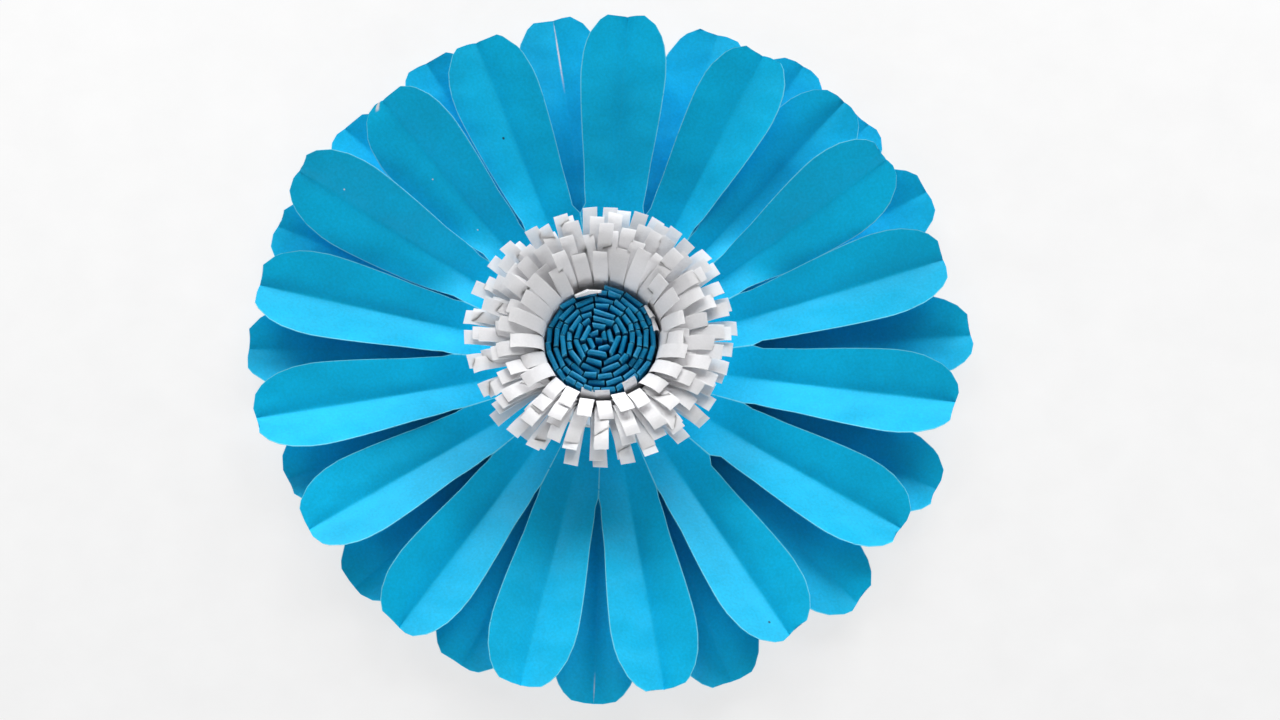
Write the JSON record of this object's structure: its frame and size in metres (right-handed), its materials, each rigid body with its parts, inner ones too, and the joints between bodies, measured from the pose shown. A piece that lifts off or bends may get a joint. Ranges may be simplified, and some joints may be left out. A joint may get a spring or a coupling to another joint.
{
  "type": "paper flower",
  "caption": "Handmade paper flower: two layers of creased rounded petals, a curled fringe ring and a tightly rolled core, lying on its back.",
  "frame": {"origin": "centre of the rear petal sheet's flat underside, on the surface the flower lies on", "axes": "+Z out of the flower's face, away from the surface; +Y towards the top of the picture and +X towards its right"},
  "size_m": [0.1993, 0.1965, 0.0263],
  "materials": {
    "blue_card": "matte dyed craft card with a fine fibre grain",
    "white_paper": "plain matte white paper",
    "core_paper": "matte blue paper, folded and tightly rolled",
    "dried_glue": "thin film of dried craft glue"
  },
  "bodies": {
    "root": {"back_petal_sheet": "blue_card", "front_petal_sheet": "blue_card", "white_fringe_roll": "white_paper", "blue_core_roll": "core_paper", "sheet_glue_dab": "dried_glue", "roll_glue_dab": "dried_glue"}
  },
  "joints": []
}
